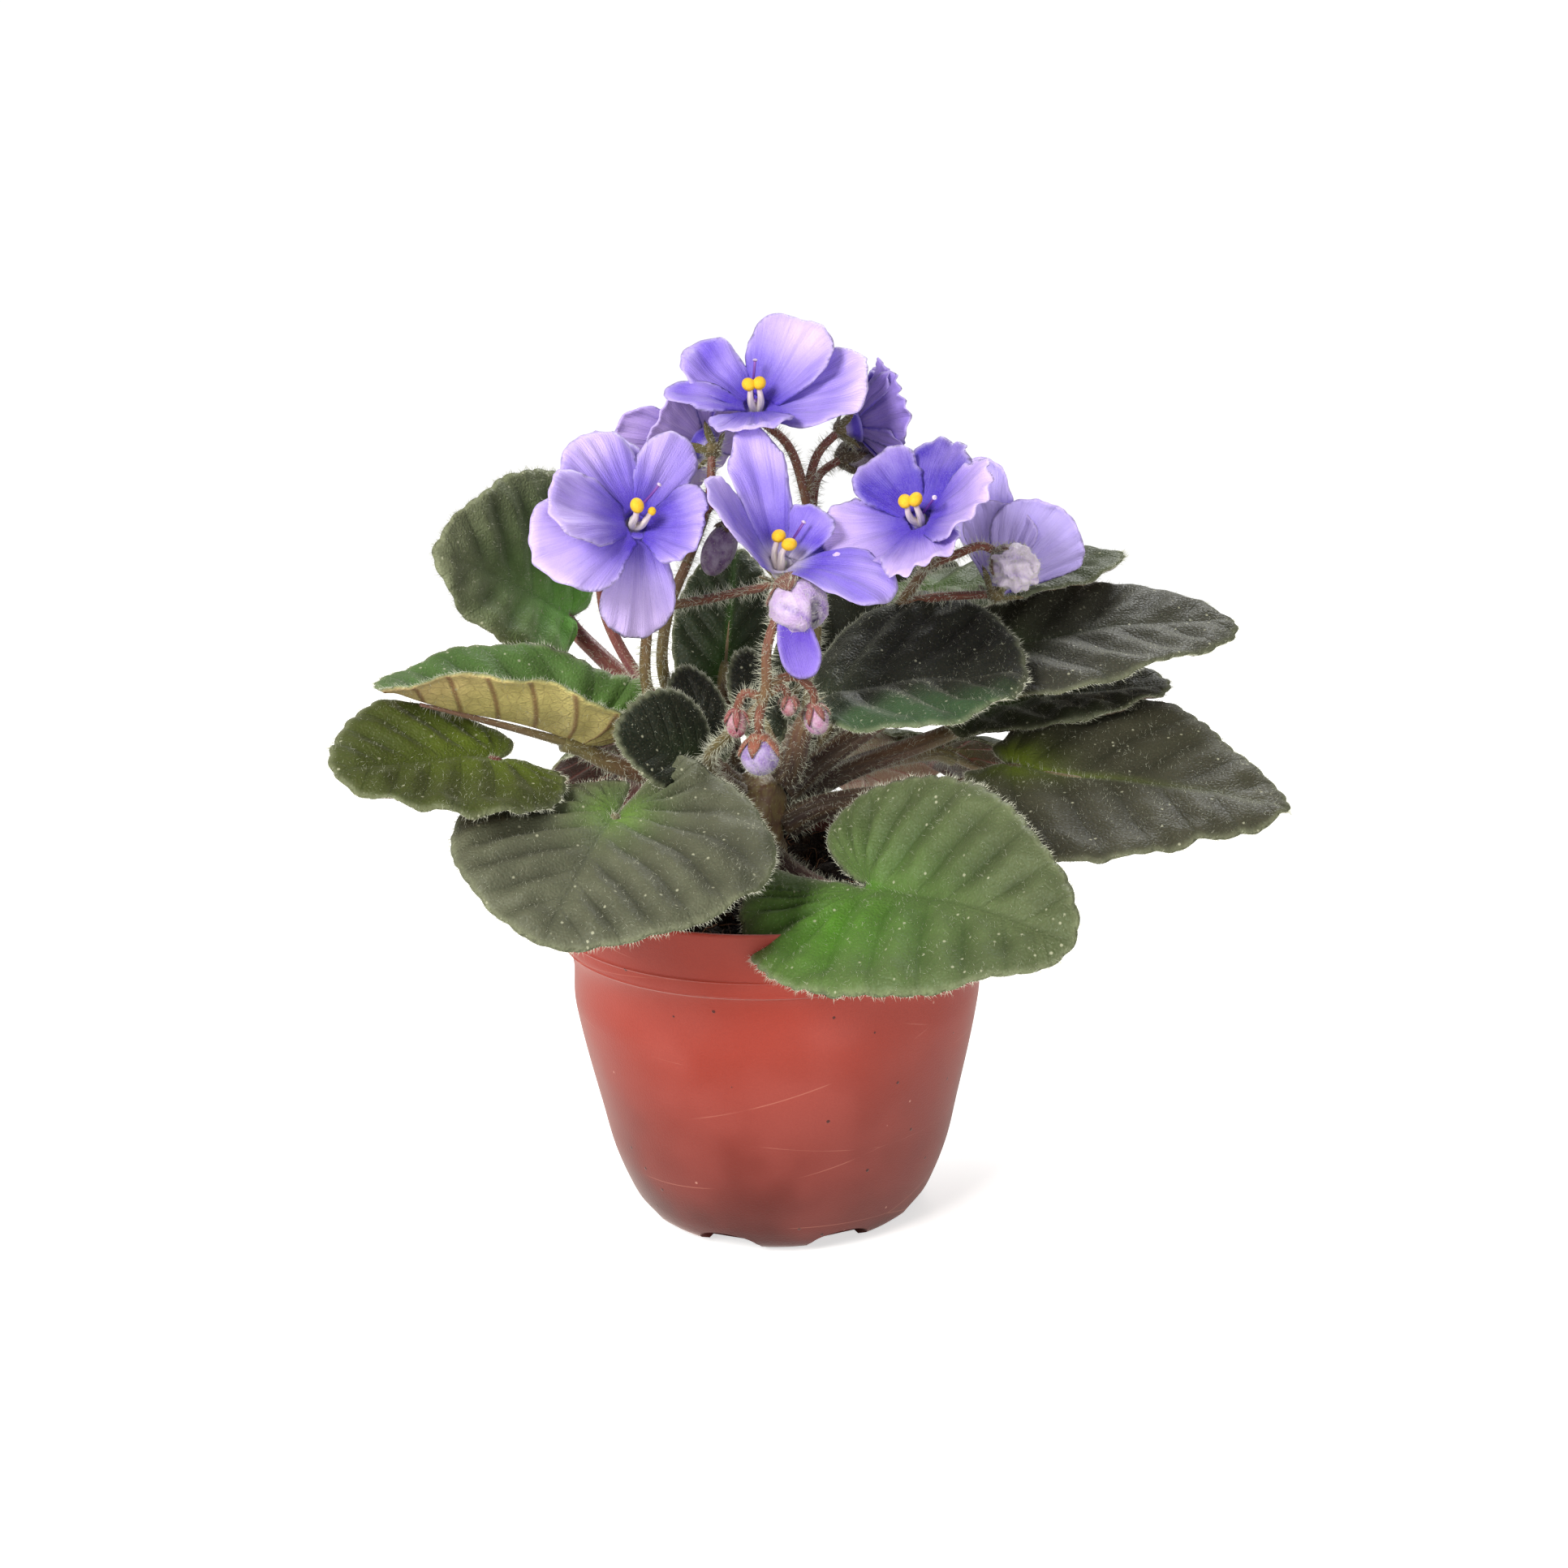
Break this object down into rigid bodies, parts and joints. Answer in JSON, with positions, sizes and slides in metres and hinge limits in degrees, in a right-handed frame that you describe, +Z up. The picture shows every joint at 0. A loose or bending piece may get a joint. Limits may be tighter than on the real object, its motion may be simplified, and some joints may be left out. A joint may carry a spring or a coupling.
{
  "type": "potted african violet",
  "caption": "Flowering African violet in a tapered plastic nursery pot: a rosette of round hairy leaves around stalks of lavender blooms and drooping buds.",
  "frame": {"origin": "centre of the pot's flat base, on the surface that the pot stands on", "axes": "+Z up along the pot's axis, -Y towards the side where the largest leaves and most blooms face, +X to that side's right"},
  "size_m": [0.1755, 0.1641, 0.1803],
  "materials": {
    "pot": "satin terracotta-coloured moulded plastic, slightly dusty",
    "soil": "moist dark peat compost with brown fibres",
    "crown": "short rough greenish brown stem",
    "leaf": "velvety, quilted between the veins, with short pale hairs",
    "flower_stalk": "hairy, green-brown to red-brown",
    "petal": "soft lavender with a fine sparkle, violet towards the throat",
    "anther": "smooth yellow pollen sacs on pale filaments",
    "style": "smooth violet with a pale tip",
    "bud": "downy, pale violet to dull purple"
  },
  "bodies": {
    "root": {"pot": "pot", "soil": "soil", "crown": "crown", "leaf_back_low": "leaf", "leaf_back_low_left": "leaf", "leaf_back_low_right": "leaf", "leaf_back_middle": "leaf", "leaf_back_right": "leaf", "leaf_centre_right": "leaf", "leaf_front_left": "leaf", "leaf_front_right": "leaf", "leaf_left_behind": "leaf", "leaf_left_folded": "leaf", "leaf_left_low": "leaf", "leaf_left_upper": "leaf", "leaf_middle": "leaf", "leaf_right": "leaf", "leaf_right_under": "leaf", "leaf_right_upper": "leaf", "leaf_young_back": "leaf", "leaf_young_left": "leaf", "leaf_young_right": "leaf", "flower_stalk_front": "flower_stalk", "flower_stalk_left": "flower_stalk", "flower_stalk_middle": "flower_stalk", "flower_stalk_right": "flower_stalk", "flower_stalk_top": "flower_stalk", "petals_back_left": "petal", "petals_centre": "petal", "petals_far_right": "petal", "petals_left": "petal", "petals_right": "petal", "petals_top": "petal", "petals_top_right": "petal", "stamens_back_left": "anther", "stamens_centre": "anther", "stamens_far_right": "anther", "stamens_left": "anther", "stamens_right": "anther", "stamens_top": "anther", "stamens_top_right": "anther", "pistil_back_left": "style", "pistil_centre": "style", "pistil_far_right": "style", "pistil_left": "style", "pistil_right": "style", "pistil_top": "style", "pistil_top_right": "style", "bud_dark": "bud", "bud_drooping": "bud", "bud_hanging": "bud", "bud_opening": "bud", "bud_right": "bud", "bud_small_left": "bud", "bud_small_middle": "bud", "bud_small_right": "bud"}
  },
  "joints": []
}
